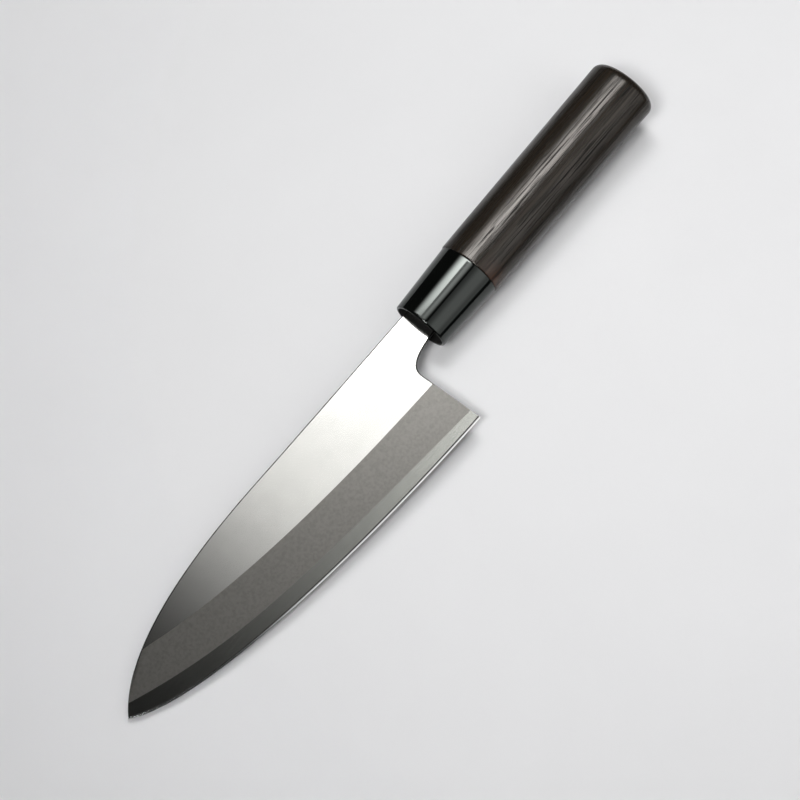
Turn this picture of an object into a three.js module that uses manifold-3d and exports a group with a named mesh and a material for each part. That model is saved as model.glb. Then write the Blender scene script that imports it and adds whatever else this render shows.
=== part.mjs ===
// Kitchen knife: a three-layer double-bevel blade whose hidden tang is bedded in an oval wooden
// grip with a black ferrule. Millimetres. The tip points to -X, the butt to +X, the spine to +Y,
// the edge to -Y, and the blade lies level. Lengths along X are measured from the ferrule's mouth,
// heights along Y from the grip's axis, and the middle of the blade is Z = 0, until the whole knife
// is placed with the origin under the middle of its box.
import * as THREE from 'three';
import { mergeVertices } from 'three/addons/utils/BufferGeometryUtils.js';
import Module from 'manifold-3d';

const wasm = await Module();
wasm.setup();

// Blade: lengths and heights
const edgeLength = 165; // straight from the tip to the heel
const neckLength = 13.4; // from the heel to the ferrule's mouth
const heelDrop = 38.8; // heel below the grip's axis
const tipDrop = 11.55; // tip below the grip's axis
const spineHeight = 7.4; // spine above the axis at the mouth
const spineRise = 0.8; // degrees, the straight spine climbs towards the tip
const spineStraight = 72; // straight spine in front of the mouth
const heelLean = 1.9; // degrees, the heel line leans towards the mouth at the edge
const heelLineTop = 12.5; // the choil's curve ends this far below the axis
const neckDrop = 5.5; // underside of the neck below the axis at the mouth

// Blade: how the curved lines leave their ends, as an angle in degrees and a pull in mm
const spineCurve = { startPull: 17, tipAngle: 46, tipPull: 33 };
const edgeCurve = { heelAngle: 0.6, heelPull: 20, tipAngle: 40, tipPull: 34.5 };
const cheekCurve = { heelAngle: 1.7, heelPull: 83, tipAngle: 20, tipPull: 18 };
const coreCurve = { heelAngle: 4.75, heelPull: 86, tipAngle: 22, tipPull: 45 };
const choilCurve = { neckAngle: 4, neckPull: 9.5, heelPull: 4.5 };

// Blade: layers and grinds
const bladeThickness = 2.2;
const coreThickness = 0.8;
const bevelShoulder = 0.4; // core thickness where the cutting bevel starts
const bevelWidth = 0.55; // cutting bevel
const cheekDrop = 17.6; // lower border of the flat cheek at the heel, below the axis
const cheekRunOut = 21.5; // the cheek runs out into the spine this far behind the tip
const coreWidth = 4.4; // bright core strip at the heel
const coreRunOut = 4.1; // the strip runs out into the spine this far behind the tip

// Tang
const tangThinning = 0.2; // taken off each face
const tangEndWidth = 7;
const tangEndHeight = 0.5; // middle of the tang's end above the axis
const tangRampStart = 1; // the thinning starts this far in front of the mouth
const tangRampLength = 2.5;

// Handle
const sectionRatio = 0.79; // thickness over width of the oval
const ferruleLength = 28.5;
const mouthWidth = 22.4;
const ferruleRearWidth = 25;
const lipRadius = 0.55;
const gripLength = 94.5; // wood behind the ferrule
const gripProud = 0.3; // the wood stands out beyond the ferrule
const gripFrontRadius = 0.4;
const buttWidth = 27.2;
const buttRadius = 3.2;
const buttCrown = 0.8;
const ferruleWall = 1.2; // at the mouth
const mouthDepth = 3.5; // from the mouth to the seal
const sealThickness = 2.5;
const beddingWall = 0.8; // resin round the tang
const fitGap = 0.3; // clearance of glued fits
const buttCover = 45; // solid wood behind the tang

// Fineness of round stretches
const ovalSides = 48;
const curveSteps = 36;
const cornerSteps = 4;
const halvings = 40; // of a search along a curve
const mergeDistance = 1e-5;

// Places that follow from the sizes
const degrees = Math.PI / 180;
const bladeHalf = bladeThickness / 2;
const coreHalf = coreThickness / 2;
const tangHalf = bladeHalf - tangThinning;
const heel = new THREE.Vector2(-neckLength, -heelDrop);
const bladeReach = Math.sqrt(edgeLength ** 2 - (heelDrop - tipDrop) ** 2);
const tip = new THREE.Vector2(heel.x - bladeReach, -tipDrop);
const heelLineStart = onHeelLine(-heelLineTop);
const buttEnd = ferruleLength + gripLength;
const tangLength = buttEnd - buttCover;
const tangEndRadius = tangEndWidth / 2;
const boreWidth = mouthWidth - 2 * ferruleWall;
const tenonWidth = boreWidth - 2 * fitGap;
const tenonFront = mouthDepth + sealThickness;
const blankMargin = 2; // the blank runs past the finished edge by this much
const overrun = 3; // the cutters run past the blank by this much or more

// A step from a point: straight on by a distance, at an angle above the direction of -X or +X
function stepForward(from, angle, distance) {
  const turn = angle * degrees;
  return new THREE.Vector2(from.x - distance * Math.cos(turn), from.y + distance * Math.sin(turn));
}

function stepBack(from, angle, distance) {
  const turn = angle * degrees;
  return new THREE.Vector2(from.x + distance * Math.cos(turn), from.y + distance * Math.sin(turn));
}

// The lines that run along the blade, each from its heel end to its tip end
const spineClimb = spineStraight * Math.tan(spineRise * degrees);
const spineStart = new THREE.Vector2(-spineStraight, spineHeight + spineClimb);
const spineLine = new THREE.CubicBezierCurve(
  spineStart,
  stepForward(spineStart, spineRise, spineCurve.startPull),
  stepBack(tip, spineCurve.tipAngle, spineCurve.tipPull),
  tip,
);
const edgeLine = grindLine(heel, tip, edgeCurve);
const cheekLine = grindLine(onHeelLine(-cheekDrop), onSpine(tip.x + cheekRunOut), cheekCurve);
const coreLine = grindLine(onHeelLine(coreWidth - heelDrop), onSpine(tip.x + coreRunOut), coreCurve);

function grindLine(start, end, shape) {
  return new THREE.CubicBezierCurve(
    start,
    stepForward(start, shape.heelAngle, shape.heelPull),
    stepBack(end, -shape.tipAngle, shape.tipPull),
    end,
  );
}

function onHeelLine(height) {
  return new THREE.Vector2(heel.x - (height + heelDrop) * Math.tan(heelLean * degrees), height);
}

// The point of the curved spine at a given x, found by halving
function onSpine(x) {
  let low = 0;
  let high = 1;
  for (let i = 0; i < halvings; i += 1) {
    const middle = (low + high) / 2;
    if (spineLine.getPoint(middle).x > x) low = middle;
    else high = middle;
  }
  return spineLine.getPoint(low);
}

// Solids from geometries and back
function toSolid(geometry) {
  const bare = geometry.clone();
  bare.deleteAttribute('normal');
  bare.deleteAttribute('uv');
  const merged = mergeVertices(bare, mergeDistance);
  const corners = merged.index.array;
  const triangles = [];
  for (let i = 0; i < corners.length; i += 3) {
    const [a, b, c] = corners.slice(i, i + 3);
    if (a !== b && b !== c && c !== a) triangles.push(a, b, c);
  }
  return new wasm.Manifold(new wasm.Mesh({
    numProp: 3,
    vertProperties: new Float32Array(merged.attributes.position.array),
    triVerts: new Uint32Array(triangles),
  }));
}

function toGeometry(solid) {
  const mesh = solid.getMesh();
  const geometry = new THREE.BufferGeometry();
  geometry.setAttribute('position', new THREE.BufferAttribute(mesh.vertProperties, 3));
  geometry.setIndex(new THREE.BufferAttribute(mesh.triVerts, 1));
  geometry.computeVertexNormals();
  return geometry;
}

// A plate of a flat outline between two heights
function plate(shape, bottom, top) {
  const settings = { depth: top - bottom, bevelEnabled: false, curveSegments: curveSteps };
  const geometry = new THREE.ExtrudeGeometry(shape, settings);
  geometry.translate(0, 0, bottom);
  return toSolid(geometry);
}

// A closed skin over a row of sections that all have the same number of corners
function loft(sections) {
  const sides = sections[0].length;
  const positions = sections.flat().flatMap((corner) => corner.toArray());
  const index = [];
  for (let s = 0; s + 1 < sections.length; s += 1) {
    for (let k = 0; k < sides; k += 1) {
      const a = s * sides + k;
      const b = s * sides + ((k + 1) % sides);
      index.push(a, b, b + sides, a, b + sides, a + sides);
    }
  }
  const last = (sections.length - 1) * sides;
  for (let k = 1; k + 1 < sides; k += 1) {
    index.push(0, k + 1, k);
    index.push(last, last + k, last + k + 1);
  }
  const geometry = new THREE.BufferGeometry();
  geometry.setAttribute('position', new THREE.Float32BufferAttribute(positions, 3));
  geometry.setIndex(index);
  return toSolid(geometry);
}

// An oval solid turned about the grip's axis from a profile of (x, half width) points
function oval(profile) {
  const turned = profile.map((point) => new THREE.Vector2(point.y, point.x));
  const geometry = new THREE.LatheGeometry(turned, ovalSides);
  geometry.rotateZ(-Math.PI / 2);
  geometry.scale(1, 1, sectionRatio);
  return toSolid(geometry);
}

// Tang outline from x = front to its round end, grown by a margin on every side but the front
function tangOutline(front, grow) {
  const endX = tangLength - tangEndRadius;
  const along = front / endX;
  const upper = spineHeight + (tangEndHeight + tangEndRadius - spineHeight) * along;
  const lower = -neckDrop + (tangEndHeight - tangEndRadius + neckDrop) * along;
  const outline = new THREE.Shape();
  outline.moveTo(front, upper + grow);
  outline.lineTo(front, lower - grow);
  outline.absarc(endX, tangEndHeight, tangEndRadius + grow, -Math.PI / 2, Math.PI / 2, false);
  outline.closePath();
  return outline;
}

// Blade and tang in outline. It runs past the edge, which the two grinds then leave sharp.
function bladeOutline() {
  const pastTip = stepForward(tip, -spineCurve.tipAngle, blankMargin);
  const margin = pastTip.clone().sub(tip);
  const { v0, v1, v2 } = edgeLine;
  const [pastHeel, heelPull, tipPull] = [v0, v1, v2].map((point) => point.clone().add(margin));
  const belowHeel = onHeelLine(pastHeel.y);
  const neck = new THREE.Vector2(0, -neckDrop);
  const neckPull = stepForward(neck, -choilCurve.neckAngle, choilCurve.neckPull);
  const outline = new THREE.Shape();
  outline.moveTo(neck.x, neck.y);
  outline.bezierCurveTo(
    neckPull.x,
    neckPull.y,
    heelLineStart.x,
    heelLineStart.y + choilCurve.heelPull,
    heelLineStart.x,
    heelLineStart.y,
  );
  outline.lineTo(belowHeel.x, belowHeel.y);
  outline.lineTo(pastHeel.x, pastHeel.y);
  outline.bezierCurveTo(heelPull.x, heelPull.y, tipPull.x, tipPull.y, pastTip.x, pastTip.y);
  outline.lineTo(tip.x, tip.y);
  const spinePulls = [spineLine.v2.x, spineLine.v2.y, spineLine.v1.x, spineLine.v1.y];
  outline.bezierCurveTo(...spinePulls, spineStart.x, spineStart.y);
  outline.lineTo(0, spineHeight);
  const tangEndX = tangLength - tangEndRadius;
  outline.absarc(tangEndX, tangEndHeight, tangEndRadius, Math.PI / 2, -Math.PI / 2, true);
  outline.closePath();
  return outline;
}

// What the grinding takes off one face: everything outside the ground band, the core strip and the
// cutting bevel. side is 1 for the upper face and -1 for the lower one.
function grind(side) {
  const shoulder = bevelShoulder / 2;
  const above = bladeHalf + overrun;
  const lines = [cheekLine, coreLine, edgeLine];
  const sections = [];
  const addSection = (along, past) => {
    const [cheek, core, edge] = lines.map((line) => {
      return line.getPointAt(along).addScaledVector(line.getTangentAt(along), past);
    });
    const forward = edgeLine.getTangentAt(along);
    const inward = new THREE.Vector2(forward.y, -forward.x);
    const bevelTop = edge.clone().addScaledVector(inward, bevelWidth);
    const outside = edge.clone().addScaledVector(inward, -overrun);
    const fall = (overrun / bevelWidth) * shoulder;
    const section = [
      new THREE.Vector3(cheek.x, cheek.y, bladeHalf * side),
      new THREE.Vector3(core.x, core.y, coreHalf * side),
      new THREE.Vector3(bevelTop.x, bevelTop.y, shoulder * side),
      new THREE.Vector3(outside.x, outside.y, -fall * side),
      new THREE.Vector3(outside.x, outside.y, above * side),
      new THREE.Vector3(cheek.x, cheek.y, above * side),
    ];
    sections.push(side > 0 ? section : section.reverse());
  };
  addSection(0, -overrun);
  for (let step = 0; step <= curveSteps; step += 1) addSection(step / curveSteps, 0);
  addSection(1, overrun);
  return loft(sections);
}

// What the thinning of the tang takes off one face
function tangGrind(side) {
  const profile = new THREE.Shape();
  profile.moveTo(-tangRampStart, bladeHalf);
  profile.lineTo(tangRampLength - tangRampStart, tangHalf);
  profile.lineTo(tangLength + overrun, tangHalf);
  profile.lineTo(tangLength + overrun, bladeHalf + overrun);
  profile.lineTo(-tangRampStart, bladeHalf + overrun);
  profile.closePath();
  const geometry = new THREE.ExtrudeGeometry(profile, { depth: buttWidth, bevelEnabled: false });
  geometry.translate(0, 0, -buttWidth / 2);
  geometry.rotateX((side * Math.PI) / 2);
  return toSolid(geometry);
}

function coreSteel() {
  return plate(bladeOutline(), -coreHalf, coreHalf).subtract(grind(1)).subtract(grind(-1));
}

function cladding(side) {
  const heights = [coreHalf * side, bladeHalf * side].sort((a, b) => a - b);
  return plate(bladeOutline(), ...heights).subtract(grind(side)).subtract(tangGrind(side));
}

// A quarter turn of a profile, from one angle to another in degrees
function corner(x, y, radius, from, to) {
  const points = [];
  for (let step = 0; step <= cornerSteps; step += 1) {
    const angle = (from + ((to - from) * step) / cornerSteps) * degrees;
    points.push(new THREE.Vector2(x + radius * Math.cos(angle), y + radius * Math.sin(angle)));
  }
  return points;
}

function ferrule() {
  const bore = boreWidth / 2;
  const lip = Math.min(lipRadius, ferruleWall / 2);
  const profile = [
    ...corner(lip, bore + lip, lip, 270, 180),
    ...corner(lip, mouthWidth / 2 - lip, lip, 180, 90),
    new THREE.Vector2(ferruleLength, ferruleRearWidth / 2),
    new THREE.Vector2(ferruleLength, bore),
  ];
  return oval([...profile, profile[0]]);
}

function gripBody() {
  const front = ferruleRearWidth / 2 + gripProud;
  const flare = (buttWidth / 2 - front) / gripLength;
  const crownStart = buttEnd - buttCrown;
  const rimX = crownStart - buttRadius;
  const rim = front + flare * (rimX - ferruleLength);
  const crownRadius = rim - buttRadius;
  const crown = [];
  for (let step = 1; step <= cornerSteps; step += 1) {
    const share = step / cornerSteps;
    crown.push(new THREE.Vector2(crownStart + buttCrown * (2 - share) * share, crownRadius * (1 - share)));
  }
  const profile = [
    new THREE.Vector2(tenonFront, 0),
    new THREE.Vector2(tenonFront, tenonWidth / 2),
    new THREE.Vector2(ferruleLength, tenonWidth / 2),
    ...corner(ferruleLength + gripFrontRadius, front - gripFrontRadius, gripFrontRadius, 180, 90),
    ...corner(rimX, crownRadius, buttRadius, 90, 0),
    ...crown,
  ];
  const grow = beddingWall + 2 * fitGap;
  const half = tangHalf + grow;
  return oval(profile).subtract(plate(tangOutline(tenonFront - overrun, grow), -half, half));
}

// The bore that the tang leaves in the seal and in the bedding
function tangClearance() {
  return plate(tangOutline(0, fitGap), -tangHalf - fitGap, tangHalf + fitGap);
}

function mouthSeal() {
  const half = boreWidth / 2 - fitGap;
  const profile = [
    new THREE.Vector2(mouthDepth, 0),
    new THREE.Vector2(mouthDepth, half),
    new THREE.Vector2(tenonFront, half),
    new THREE.Vector2(tenonFront, 0),
  ];
  return oval(profile).subtract(tangClearance());
}

function tangBedding() {
  const grow = fitGap + beddingWall;
  const half = tangHalf + grow;
  return plate(tangOutline(tenonFront, grow), -half, half).subtract(tangClearance());
}

// Assembly
const knife = new THREE.Group();

function addPiece(name, solid, color, roughness, metalness) {
  const material = new THREE.MeshStandardMaterial({ color, roughness, metalness });
  const piece = new THREE.Mesh(toGeometry(solid), material);
  piece.name = name;
  knife.add(piece);
}

addPiece('core_steel', coreSteel(), 0xb4b8b8, 0.2, 1);
addPiece('left_cladding', cladding(1), 0xa6a39e, 0.32, 1);
addPiece('right_cladding', cladding(-1), 0xa6a39e, 0.32, 1);
addPiece('ferrule', ferrule(), 0x0b0c0b, 0.12, 0);
addPiece('grip_body', gripBody(), 0x2f2722, 0.45, 0);
addPiece('tang_bedding', tangBedding(), 0x8a6f45, 0.4, 0);
addPiece('mouth_seal', mouthSeal(), 0x141312, 0.6, 0);

const box = new THREE.Box3().setFromObject(knife);
const middle = box.getCenter(new THREE.Vector3());
knife.position.set(-middle.x, -middle.y, -box.min.z);

export default knife;
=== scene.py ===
import math
import bmesh
import bpy
from mathutils import Matrix, Vector


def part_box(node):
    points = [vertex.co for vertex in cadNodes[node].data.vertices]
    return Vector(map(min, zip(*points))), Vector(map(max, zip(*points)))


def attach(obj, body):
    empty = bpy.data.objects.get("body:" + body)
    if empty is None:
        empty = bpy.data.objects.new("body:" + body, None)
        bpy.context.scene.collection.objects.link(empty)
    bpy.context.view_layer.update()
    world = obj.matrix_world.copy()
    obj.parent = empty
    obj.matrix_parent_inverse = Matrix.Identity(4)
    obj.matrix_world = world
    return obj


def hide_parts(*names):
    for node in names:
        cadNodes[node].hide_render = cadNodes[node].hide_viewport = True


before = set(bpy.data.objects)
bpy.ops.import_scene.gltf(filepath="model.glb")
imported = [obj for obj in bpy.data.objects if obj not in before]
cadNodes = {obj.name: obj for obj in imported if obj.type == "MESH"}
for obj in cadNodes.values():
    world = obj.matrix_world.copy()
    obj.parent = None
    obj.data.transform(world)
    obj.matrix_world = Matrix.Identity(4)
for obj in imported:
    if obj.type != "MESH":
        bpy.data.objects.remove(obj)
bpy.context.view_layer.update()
mm = 0.001
print("frame loaded:", ", ".join(sorted(cadNodes)))


# How the knife rests: on its tip and on the underside of the ferrule
def restingPlane():
    tip = min((v.co for v in cadNodes["core_steel"].data.vertices), key=lambda co: co.x)
    drops = [math.atan2(tip.z - v.co.z, v.co.x - tip.x) for v in cadNodes["ferrule"].data.vertices]
    pitch = max(drops)
    under = Vector((0, 0, tip.z + tip.x * math.tan(pitch)))
    return Matrix.Translation(under) @ Matrix.Rotation(pitch, 4, "Y")


floorFrame = restingPlane()
handleLow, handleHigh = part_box("ferrule")
axisY = (handleLow.y + handleHigh.y) / 2
axisZ = (handleLow.z + handleHigh.z) / 2
mouthX = handleLow.x
jointX = handleHigh.x
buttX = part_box("grip_body")[1].x


def aimed(azimuth, elevation):
    turn = math.radians(azimuth)
    lift = math.radians(elevation)
    return Vector((math.sin(turn) * math.cos(lift), -math.cos(turn) * math.cos(lift), math.sin(lift)))


# the matrix of a thing that stands at centre and looks at aim, both in the floor's frame
def lookingAt(centre, aim):
    turn = (aim - centre).to_track_quat("-Z", "Y").to_matrix().to_4x4()
    return floorFrame @ Matrix.Translation(centre) @ turn


# Camera
viewSettings = {
    "azimuth": -50.87, "elevation": 70.0, "distance": 1.0, "place": (2.03 * mm, 2.37 * mm),
    "lens": 123.69, "sensor": 36, "clip": 0.01,
}


def makeCamera(settings):
    data = bpy.data.cameras.new("camera")
    data.sensor_width = settings["sensor"]
    data.lens = settings["lens"]
    data.clip_start = settings["clip"]
    camera = bpy.data.objects.new("camera", data)
    bpy.context.scene.collection.objects.link(camera)
    aim = Vector((*settings["place"], 0))
    back = aimed(settings["azimuth"], settings["elevation"])
    camera.matrix_world = lookingAt(aim + back * settings["distance"], aim)
    bpy.context.scene.camera = camera


makeCamera(viewSettings)
bpy.context.scene.view_settings.view_transform = "Standard"
print("camera placed")


# Shader building
def addNode(tree, kind, props=None, inputs=None):
    made = tree.nodes.new("ShaderNode" + kind)
    for key, value in (props or {}).items():
        setattr(made, key, value)
    for key, value in (inputs or {}).items():
        if isinstance(value, bpy.types.NodeSocket):
            tree.links.new(value, made.inputs[key])
        else:
            made.inputs[key].default_value = value
    return made


def spread(tree, value, low, high):
    return addNode(tree, "MapRange", None, {"Value": value, "To Min": low, "To Max": high}).outputs[0]


def combine(tree, operation, first, second):
    return addNode(tree, "Math", {"operation": operation}, {0: first, 1: second}).outputs[0]


def ramp(tree, value, start, end):
    inputs = {"Value": value, "From Min": start, "From Max": end}
    return addNode(tree, "MapRange", {"interpolation_type": "SMOOTHSTEP"}, inputs).outputs[0]


def blendColors(tree, factor, first, second):
    first, second = (c if isinstance(c, bpy.types.NodeSocket) else (*c, 1) for c in (first, second))
    return addNode(tree, "Mix", {"data_type": "RGBA"}, {0: factor, 6: first, 7: second}).outputs[2]


def newGroup(name, inputs, output):
    group = bpy.data.node_groups.new(name, "ShaderNodeTree")
    for label, kind in inputs.items():
        group.interface.new_socket(name=label, in_out="INPUT", socket_type=kind)
    group.interface.new_socket(name=output, in_out="OUTPUT", socket_type="NodeSocketFloat")
    return group, group.nodes.new("NodeGroupInput").outputs, group.nodes.new("NodeGroupOutput").inputs


# Fine lines that all run one way: Turn is the angle of the lines about Z
def makeHairlineGroup():
    sockets = {
        "Vector": "NodeSocketVector", "Turn": "NodeSocketFloat",
        "Stretch": "NodeSocketVector", "Detail": "NodeSocketFloat",
    }
    group, given, wanted = newGroup("hairlines", sockets, "Lines")
    turn = {"Vector": given["Vector"], "Angle": given["Turn"]}
    turned = addNode(group, "VectorRotate", {"rotation_type": "Z_AXIS"}, turn)
    stretched = addNode(group, "VectorMath", {"operation": "MULTIPLY"}, {0: turned.outputs[0], 1: given["Stretch"]})
    inputs = {"Vector": stretched.outputs[0], "Scale": 1.0, "Detail": given["Detail"], "Roughness": 0.6}
    lines = addNode(group, "TexNoise", None, inputs)
    group.links.new(lines.outputs[0], wanted["Lines"])
    return group


# Soft blotches of a given size per metre
def makeMottleGroup():
    group, given, wanted = newGroup("mottle", {"Vector": "NodeSocketVector", "Scale": "NodeSocketFloat"}, "Mottle")
    inputs = {"Vector": given["Vector"], "Scale": given["Scale"], "Detail": 5.0, "Roughness": 0.55}
    blotch = addNode(group, "TexNoise", None, inputs)
    clear = addNode(group, "MapRange", None, {"Value": blotch.outputs[0], "From Min": 0.3, "From Max": 0.7})
    group.links.new(clear.outputs[0], wanted["Mottle"])
    return group


hairlineGroup = makeHairlineGroup()
mottleGroup = makeMottleGroup()


def newMaterial(name, constants):
    material = bpy.data.materials.new(name)
    material.use_nodes = True
    tree = material.node_tree
    shader = tree.nodes["Principled BSDF"]
    for key, value in constants.items():
        shader.inputs[key].default_value = value
    return material, tree, shader, addNode(tree, "TexCoord").outputs["Object"]


def hairlines(tree, vector, turn, stretch, detail=4.0):
    inputs = {"Vector": vector, "Turn": math.radians(turn), "Stretch": stretch, "Detail": detail}
    return addNode(tree, "Group", {"node_tree": hairlineGroup}, inputs).outputs[0]


def mottle(tree, vector, scale):
    return addNode(tree, "Group", {"node_tree": mottleGroup}, {"Vector": vector, "Scale": scale}).outputs[0]


def addBump(tree, shader, height, strength, depth):
    bump = addNode(tree, "Bump", None, {"Height": height, "Strength": strength, "Distance": depth})
    tree.links.new(bump.outputs[0], shader.inputs["Normal"])


def addTogether(tree, first, second, share):
    return combine(tree, "ADD", first, combine(tree, "MULTIPLY", second, share))


# Steel: one function, five finishes. dullEnd is (start, end, extra roughness) along the blade.
grainScale = 2600  # of the matte band, per metre
steelRelief = 0.02 * mm
lineShare = 0.5  # of the hairlines in the tone, beside the blotches
toneReach = 0.7  # of the way from the first tone to the second
steelFinishes = {
    "polishedCheek": {
        "tones": ((0.53, 0.527, 0.503), (0.57, 0.566, 0.541)), "roughness": (0.072, 0.088),
        "dullEnd": (mouthX - 5 * mm, mouthX + 1 * mm, 0.16),
        "turn": 51, "stretch": (30, 1100, 1), "blotch": 90, "lineBump": 0.02, "grainBump": 0,
    },
    "mattedBand": {
        "tones": ((0.092, 0.089, 0.083), (0.130, 0.125, 0.117)), "roughness": (0.28, 0.32),
        "turn": -35, "stretch": (260, 700, 1), "blotch": 900, "lineBump": 0.0, "grainBump": 0.25,
    },
    "polishedCore": {
        "tones": ((0.158, 0.160, 0.149), (0.174, 0.176, 0.164)), "roughness": (0.128, 0.144),
        "turn": 0, "stretch": (20, 6000, 1), "blotch": 60, "lineBump": 0.7, "grainBump": 0,
    },
    # Partly the honed bevel's own shine, partly painted highlight: this tone is raised above the steel's so the thin
    # bevel reads as a white line
    "honedEdgePaintedBright": {
        "tones": ((0.84, 0.85, 0.84), (0.92, 0.93, 0.92)), "roughness": (0.10, 0.14),
        "turn": 90, "stretch": (200, 3000, 1), "blotch": 200, "lineBump": 0.0, "grainBump": 0,
    },
    # Painted dark reflection: this finish's tone is far below the steel's, so the spine and choil walls and the
    # shoulder line read as dark lines
    "paintedDarkRim": {
        "tones": ((0.025, 0.025, 0.0246), (0.045, 0.045, 0.044)), "roughness": (0.26, 0.36),
        "turn": 90, "stretch": (200, 2200, 200), "blotch": 80, "lineBump": 0.05, "grainBump": 0,
    },
}


def makeSteel(name):
    finish = steelFinishes[name]
    material, tree, shader, place = newMaterial(name, {"Metallic": 1.0})
    lines = hairlines(tree, place, finish["turn"], finish["stretch"])
    blotch = mottle(tree, place, finish["blotch"])
    tone = spread(tree, addTogether(tree, blotch, lines, lineShare), 0, toneReach)
    tree.links.new(blendColors(tree, tone, *finish["tones"]), shader.inputs["Base Color"])
    roughness = spread(tree, lines, *finish["roughness"])
    if "dullEnd" in finish:
        start, end, extra = finish["dullEnd"]
        along = addNode(tree, "SeparateXYZ", None, {0: place}).outputs[0]
        roughness = addTogether(tree, roughness, ramp(tree, along, start, end), extra)
    tree.links.new(roughness, shader.inputs["Roughness"])
    if finish["grainBump"]:
        addBump(tree, shader, mottle(tree, place, grainScale), finish["grainBump"], steelRelief)
    elif finish["lineBump"]:
        addBump(tree, shader, lines, finish["lineBump"], steelRelief)
    return material


steel = {name: makeSteel(name) for name in steelFinishes}

# Ferrule and resins, all with the same faint scuffs
scuffSettings = {"turn": 8, "stretch": (60, 1500, 1500), "share": 0.4}
plasticRelief = 0.05 * mm
plasticFinishes = {
    "glossFerrule": {
        # Painted reflection colour: the ferrule's green tint on its reflections stands in for the colour of the light
        # it reflects
        "tones": ((0.0008, 0.0011, 0.0009), (0.0014, 0.0018, 0.0015)), "paintedReflectionTint": (0.93, 1.0, 0.95),
        "roughness": (0.045, 0.065), "ior": 1.6, "blotch": 120, "bump": 0.0,
    },
    "mouldedInside": {
        "tones": ((0.010, 0.010, 0.0095), (0.018, 0.018, 0.017)), "paintedReflectionTint": (1, 1, 1), "roughness": (0.4, 0.55),
        "ior": 1.5, "blotch": 700, "bump": 0.15,
    },
    "darkSeal": {
        "tones": ((0.004, 0.0037, 0.0034), (0.009, 0.0085, 0.008)), "paintedReflectionTint": (1, 1, 1), "roughness": (0.5, 0.68),
        "ior": 1.5, "blotch": 500, "bump": 0.3,
    },
    "amberBedding": {
        "tones": ((0.28, 0.19, 0.08), (0.40, 0.29, 0.14)), "paintedReflectionTint": (1, 1, 1), "roughness": (0.35, 0.5),
        "ior": 1.5, "blotch": 300, "bump": 0.2,
    },
}


def makePlastic(name):
    finish = plasticFinishes[name]
    # the tint colours only the reflections: a painted reflection colour wherever it is not white
    material, tree, shader, place = newMaterial(name, {"IOR": finish["ior"], "Specular Tint": (*finish["paintedReflectionTint"], 1)})
    blotch = mottle(tree, place, finish["blotch"])
    scuffs = hairlines(tree, place, scuffSettings["turn"], scuffSettings["stretch"])
    tree.links.new(blendColors(tree, blotch, *finish["tones"]), shader.inputs["Base Color"])
    worn = addTogether(tree, blotch, scuffs, scuffSettings["share"])
    tree.links.new(spread(tree, worn, *finish["roughness"]), shader.inputs["Roughness"])
    if finish["bump"]:
        addBump(tree, shader, blotch, finish["bump"], plasticRelief)
    return material


plastic = {name: makePlastic(name) for name in plasticFinishes}

# Wood: dark heartwood with long open pores, redder where it meets the ferrule and at the butt
woodFinish = {
    "pore": (0.002, 0.0016, 0.0012), "dark": (0.005, 0.0038, 0.0028), "brown": (0.026, 0.0195, 0.0135),
    "red": (0.05, 0.024, 0.015), "lean": 0.5, "grain": (0.55, 1.25), "streakShare": 0.8,
    "bands": (5, 330, 330), "streaks": (22, 2500, 2500), "dashes": (80, 3300, 3300),
    "streakPore": (0.43, 0.36), "dashPore": (0.40, 0.33), "poreSink": -0.6,
    "roughness": (0.19, 0.46), "shine": (0.50, 0.2), "relief": 0.7, "reliefDepth": 0.026 * mm,
    "jointRed": (jointX + 9 * mm, jointX), "jointSide": (axisY - 3 * mm, axisY - 11 * mm),
    "buttRed": (buttX - 2.5 * mm, buttX - 0.4 * mm), "buttShare": 0.6,
}


def makeWood(name, finish):
    # The warm Specular Tint is a painted reflection colour, standing in for warm reflected light
    material, tree, shader, place = newMaterial(name, {"IOR": 1.5, "Specular Tint": (1, 0.95, 0.9, 1)})
    bands = hairlines(tree, place, finish["lean"], finish["bands"])
    streaks = hairlines(tree, place, finish["lean"], finish["streaks"], 1.0)
    dashes = hairlines(tree, place, finish["lean"], finish["dashes"], 1.0)
    streakPores = ramp(tree, streaks, *finish["streakPore"])
    pores = combine(tree, "MAXIMUM", streakPores, ramp(tree, dashes, *finish["dashPore"]))
    grain = ramp(tree, addTogether(tree, bands, streaks, finish["streakShare"]), *finish["grain"])
    body = blendColors(tree, grain, finish["dark"], finish["brown"])
    spot = addNode(tree, "SeparateXYZ", None, {0: place}).outputs
    nearJoint = ramp(tree, spot[0], *finish["jointRed"])
    joint = combine(tree, "MULTIPLY", nearJoint, ramp(tree, spot[1], *finish["jointSide"]))
    ends = addTogether(tree, joint, ramp(tree, spot[0], *finish["buttRed"]), finish["buttShare"])
    warm = blendColors(tree, ends, body, finish["red"])
    tree.links.new(blendColors(tree, pores, warm, finish["pore"]), shader.inputs["Base Color"])
    tree.links.new(spread(tree, pores, *finish["roughness"]), shader.inputs["Roughness"])
    tree.links.new(spread(tree, pores, *finish["shine"]), shader.inputs["Specular IOR Level"])
    height = addTogether(tree, streaks, pores, finish["poreSink"])
    addBump(tree, shader, height, finish["relief"], finish["reliefDepth"])
    return material


wood = makeWood("oiledDarkWood", woodFinish)
print("materials made:", len(steel) + len(plastic) + 1)


# Pieces
def finishPiece(bm, name, node, materials):
    mesh = bpy.data.meshes.new(name)
    bm.to_mesh(mesh)
    bm.free()
    for material in materials:
        mesh.materials.append(material)
    piece = bpy.data.objects.new(name, mesh)
    bpy.context.scene.collection.objects.link(piece)
    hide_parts(node)
    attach(piece, "root")
    print("made", name, "with", len(mesh.polygons), "faces")


def cosine(degrees):
    return math.cos(math.radians(degrees))


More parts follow.
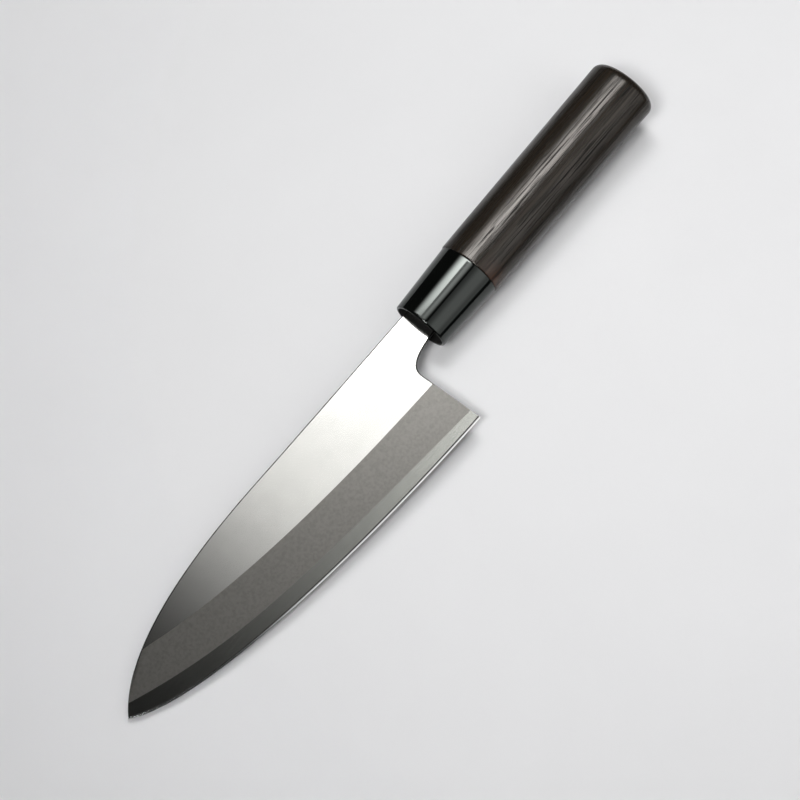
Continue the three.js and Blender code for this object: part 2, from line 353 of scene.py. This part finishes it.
# level, flat, ground, steep and honed are limits for how far a face leans from the blade's middle plane
bladeSettings = {
    "level": cosine(0.02), "flat": cosine(0.4), "ground": cosine(12), "steep": cosine(35), "honed": cosine(11),
    "neckX": 20 * mm, "spineRound": 0.44 * mm, "leastWall": 0.45 * mm, "shoulderCut": 0.42 * mm,
    "weld": 0.002 * mm, "samePlane": math.radians(0.03), "crease": math.radians(40),
}


# The kind of surface that a face of the blade belongs to: 0 cheek, 1 ground band or strip, 2 bevel, 3 rim
def bladeSurface(face):
    up = abs(face.normal.z)
    if up > bladeSettings["flat"]:
        return 0
    if up > bladeSettings["ground"]:
        return 0 if face.calc_center_median().x > bladeSettings["neckX"] else 1
    return 2 if up > bladeSettings["steep"] else 3


def bladeLayer(node):
    bm = bmesh.new()
    bm.from_mesh(cadNodes[node].data)
    bmesh.ops.remove_doubles(bm, verts=bm.verts, dist=bladeSettings["weld"])
    bmesh.ops.dissolve_limit(bm, angle_limit=bladeSettings["samePlane"], verts=bm.verts, edges=bm.edges)
    for face in bm.faces:
        face.material_index = bladeSurface(face)
        face.smooth = True
    return bm


def sharpenBetween(bm, pairs):
    for edge in bm.edges:
        if len(edge.link_faces) == 2:
            found = tuple(sorted(face.material_index for face in edge.link_faces))
            level = {abs(face.normal.z) > bladeSettings["level"] for face in edge.link_faces}
            alike = found not in pairs and len(level) == 1  # keeps the flat cheek's shading flat
            edge.smooth = alike and edge.calc_face_angle() < bladeSettings["crease"]


def makeCladding(node, name, inner):
    bm = bladeLayer(node)
    rim = []
    for edge in bm.edges:
        found = {face.material_index for face in edge.link_faces}
        height = abs((edge.verts[0].co.z + edge.verts[1].co.z) / 2 - inner)
        if 3 in found and len(found) == 2 and height > bladeSettings["leastWall"]:
            rim.append(edge)
    # the rounded spine edge and walls get material 3, the painted dark reflection
    bmesh.ops.bevel(
        bm, geom=rim, offset=bladeSettings["spineRound"], offset_type="OFFSET", affect="EDGES",
        segments=3, profile=0.5, material=3, clamp_overlap=False,
    )
    sharpenBetween(bm, {(0, 1), (0, 3), (1, 3)})
    finishes = ("polishedCheek", "mattedBand", "mattedBand", "paintedDarkRim")
    finishPiece(bm, name, node, [steel[finish] for finish in finishes])


def makeCore():
    bm = bladeLayer("core_steel")
    shoulder = [e for e in bm.edges if {f.material_index for f in e.link_faces} == {1, 2}]
    # the shoulder chord gets material 4, a painted dark reflection line; its steep faces become the honed edge, whose
    # brightness is partly painted highlight
    bmesh.ops.bevel(
        bm, geom=shoulder, offset=bladeSettings["shoulderCut"], offset_type="OFFSET", affect="EDGES",
        segments=2, profile=0.5, material=4, clamp_overlap=False,
    )
    for face in bm.faces:
        if face.material_index == 4 and abs(face.normal.z) < bladeSettings["honed"]:
            face.material_index = 2
    sharpenBetween(bm, {(0, 1), (0, 3), (1, 3), (2, 3), (0, 2), (1, 4), (2, 4), (3, 4)})
    finishes = ("polishedCore", "polishedCore", "honedEdgePaintedBright", "paintedDarkRim", "paintedDarkRim")
    finishPiece(bm, "bladeCore", "core_steel", [steel[finish] for finish in finishes])


makeCladding("left_cladding", "leftCladding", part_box("left_cladding")[0].z)
makeCladding("right_cladding", "rightCladding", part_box("right_cladding")[1].z)
makeCore()

# Handle: profiles spun about the grip's axis, then pressed to the oval
ovalSettings = {"ratio": 0.79, "steps": 144, "roundSteps": 8, "weld": 0.001 * mm, "crease": math.radians(35)}
ferruleSettings = {
    "mouth": 22.4 * mm, "rear": 25.0 * mm, "wall": 1.2 * mm, "lip": 0.55 * mm, "rearRound": 0.3 * mm,
    "extraRings": (0.04, 0.97), "insideShare": 0.3,
}
gripSettings = {
    "front": 25.6 * mm, "butt": 27.18 * mm, "frontRound": 0.4 * mm, "buttRound": 3.2 * mm, "crown": 0.8 * mm,
    "tenon": 19.4 * mm, "tenonFront": 6.0 * mm, "crownSteps": 6, "extraRings": (0.008, 0.955), "buttEase": 0.98,
}


# points are (x, half width); rounded gives a radius for some of them
def spinOval(points, rounded, closed):
    bm = bmesh.new()
    verts = [bm.verts.new((x, half, 0)) for x, half in points]
    for pair in zip(verts, verts[1:]):
        bm.edges.new(pair)
    if closed:
        bm.edges.new((verts[-1], verts[0]))
    for index, radius in rounded.items():
        bmesh.ops.bevel(
            bm, geom=[verts[index]], offset=radius, offset_type="OFFSET", affect="VERTICES",
            segments=ovalSettings["roundSteps"], profile=0.5, material=-1,
        )
    geometry = list(bm.verts) + list(bm.edges)
    bmesh.ops.spin(
        bm, geom=geometry, cent=(0, 0, 0), axis=(1, 0, 0), angle=math.tau,
        steps=ovalSettings["steps"], use_merge=True,
    )
    bmesh.ops.remove_doubles(bm, verts=bm.verts, dist=ovalSettings["weld"])
    bmesh.ops.scale(bm, vec=(1, 1, ovalSettings["ratio"]), verts=bm.verts)
    bmesh.ops.translate(bm, vec=(0, axisY, axisZ), verts=bm.verts)
    bmesh.ops.recalc_face_normals(bm, faces=bm.faces)
    for face in bm.faces:
        face.smooth = True
    for edge in bm.edges:
        edge.smooth = edge.calc_face_angle(0) < ovalSettings["crease"]
    return bm


# a point of the straight line between two points, for an extra ring that keeps the shading straight
def between(first, second, share):
    return tuple(a + (b - a) * share for a, b in zip(first, second))


def makeFerrule(settings):
    bore = settings["mouth"] / 2 - settings["wall"]
    front = (mouthX, settings["mouth"] / 2)
    rear = (jointX, settings["rear"] / 2)
    rings = [between(front, rear, share) for share in settings["extraRings"]]
    points = [(jointX, bore), (mouthX, bore), front, *rings, rear]
    bm = spinOval(points, {1: settings["lip"], 2: settings["lip"], 5: settings["rearRound"]}, True)
    inside = bore + settings["wall"] * settings["insideShare"]
    for face in bm.faces:
        spot = face.calc_center_median()
        reach = math.hypot(spot.y - axisY, (spot.z - axisZ) / ovalSettings["ratio"])
        face.material_index = 1 if reach < inside else 0
    finishes = [plastic["glossFerrule"], plastic["mouldedInside"]]
    finishPiece(bm, "ferruleRing", "ferrule", finishes)


def makeGrip(settings):
    crownStart = buttX - settings["crown"]
    front = (jointX, settings["front"] / 2)
    rim = (crownStart, settings["butt"] / 2)
    crownEdge = rim[1] - settings["buttRound"]
    tenonX = mouthX + settings["tenonFront"]
    tenon = settings["tenon"] / 2
    rings = [between(front, rim, share) for share in settings["extraRings"]]
    points = [(tenonX, 0), (tenonX, tenon), (jointX, tenon), front, *rings, rim]
    for step in range(settings["crownSteps"] + 1):
        share = step / settings["crownSteps"]
        points.append((crownStart + settings["crown"] * (2 - share) * share, crownEdge * (1 - share)))
    bm = spinOval(points, {3: settings["frontRound"], 6: settings["buttRound"] * settings["buttEase"]}, False)
    finishPiece(bm, "woodenGrip", "grip_body", [wood])


makeFerrule(ferruleSettings)
makeGrip(gripSettings)

for node, material in (("mouth_seal", plastic["darkSeal"]), ("tang_bedding", plastic["amberBedding"])):
    cadNodes[node].data.materials.clear()
    cadNodes[node].data.materials.append(material)
print("handle made")

# Floor
floorSettings = {
    "half": 4.0, "gap": 2.2 * mm, "blotch": 14,
    "tones": ((0.83, 0.83, 0.84), (0.85, 0.85, 0.86)), "roughness": (0.55, 0.65),
}


def makeFloor(settings):
    material, tree, shader, place = newMaterial("paleFloor", {"Specular IOR Level": 0.2})
    blotch = mottle(tree, place, settings["blotch"])
    tree.links.new(blendColors(tree, blotch, *settings["tones"]), shader.inputs["Base Color"])
    tree.links.new(spread(tree, blotch, *settings["roughness"]), shader.inputs["Roughness"])
    bm = bmesh.new()
    bmesh.ops.create_grid(bm, x_segments=1, y_segments=1, size=settings["half"])
    lowered = Matrix.Translation((0, 0, -settings["gap"]))  # as wide a shadow as in the photo
    bmesh.ops.transform(bm, matrix=floorFrame @ lowered, verts=bm.verts)
    mesh = bpy.data.meshes.new("floor")
    bm.to_mesh(mesh)
    bm.free()
    mesh.materials.append(material)
    floor = bpy.data.objects.new("floor", mesh)
    bpy.context.scene.collection.objects.link(floor)


makeFloor(floorSettings)

# Light, in the floor's frame: a softbox past the spine that fades at its rims, a dim panel on the edge's side, a narrow
# fill on the camera's side and a dark room. A layer of a lamp is (level, where it rises and falls along the width, the
# same along the height), in shares of the lamp's sides.
flat = (-2, -1, 2, 3)
heartAlong = (0.073, 0.234, 0.387, 0.903)
frontAlong = (0.285, 0.325, 0.387, 0.903)
glowAlong = (0, 0.174, 0.33, 0.52)
stripAlong = (0, 0.1, 0.2, 0.26)
lampSettings = {
    "softbox": {
        "centre": (0.25, 0.625, 1.21), "aim": (0.25, 0.625, 0), "size": (0.76, 1.55), "spread": 180,
        "layers": (
            (7.8, (0.479, 0.559, 2, 3), heartAlong), (7.8, (0.385, 0.455, 0.501, 0.581), frontAlong),
            (5.4, (0.479, 0.559, 0.54, 0.78), heartAlong), (5.4, (0.382, 0.526, 0.501, 0.581), frontAlong),
            (1.4, (0, 0.36, 2, 3), glowAlong), (0.35, (0.30, 0.43, 2, 3), glowAlong),
            (1.4, (0.32, 0.44, 0.501, 0.581), stripAlong),
        ),
    },
    "panel": {
        "centre": (0.294, -0.573, 0.648), "aim": (0.08, 0, 0), "size": (0.60, 1.13), "spread": 180,
        "layers": ((0.6, flat, (0.096, 0.449, 0.64, 1.0)), (0.30, flat, (-2, -1, 0.72, 1.2)), (0.34, flat, flat)),
    },
    "topFill": {
        "centre": (-0.68, -0.10, 1.42), "aim": (0.12, -0.06, 0), "size": (0.40, 0.40), "spread": 36,
        "layers": ((1.1, flat, flat),),
    },
}
roomLight = (0.03, 0.03, 0.03)


def window(tree, value, span):
    return combine(tree, "MULTIPLY", ramp(tree, value, span[0], span[1]), ramp(tree, value, span[3], span[2]))


def makeLamp(name, settings):
    data = bpy.data.lights.new(name, "AREA")
    data.shape = "RECTANGLE"
    data.size, data.size_y = settings["size"]
    data.energy = math.pi * data.size * data.size_y
    data.spread = math.radians(settings["spread"])
    data.use_nodes = True
    tree = data.node_tree
    side = addNode(tree, "SeparateXYZ", None, {0: addNode(tree, "NewGeometry").outputs["Parametric"]}).outputs
    total = 0.0
    for level, across, along in settings["layers"]:
        shape = combine(tree, "MULTIPLY", window(tree, side[0], across), window(tree, side[1], along))
        total = combine(tree, "ADD", combine(tree, "MULTIPLY", combine(tree, "POWER", shape, 2), level), total)
    tree.links.new(total, tree.nodes["Emission"].inputs["Strength"])
    lamp = bpy.data.objects.new(name, data)
    bpy.context.scene.collection.objects.link(lamp)
    lamp.matrix_world = lookingAt(Vector(settings["centre"]), Vector(settings["aim"]))
    lamp.visible_camera = False


for name, settings in lampSettings.items():
    makeLamp(name, settings)

world = bpy.data.worlds.new("room")
world.use_nodes = True
world.node_tree.nodes["Background"].inputs["Color"].default_value = (*roomLight, 1)
bpy.context.scene.world = world
print("light placed")
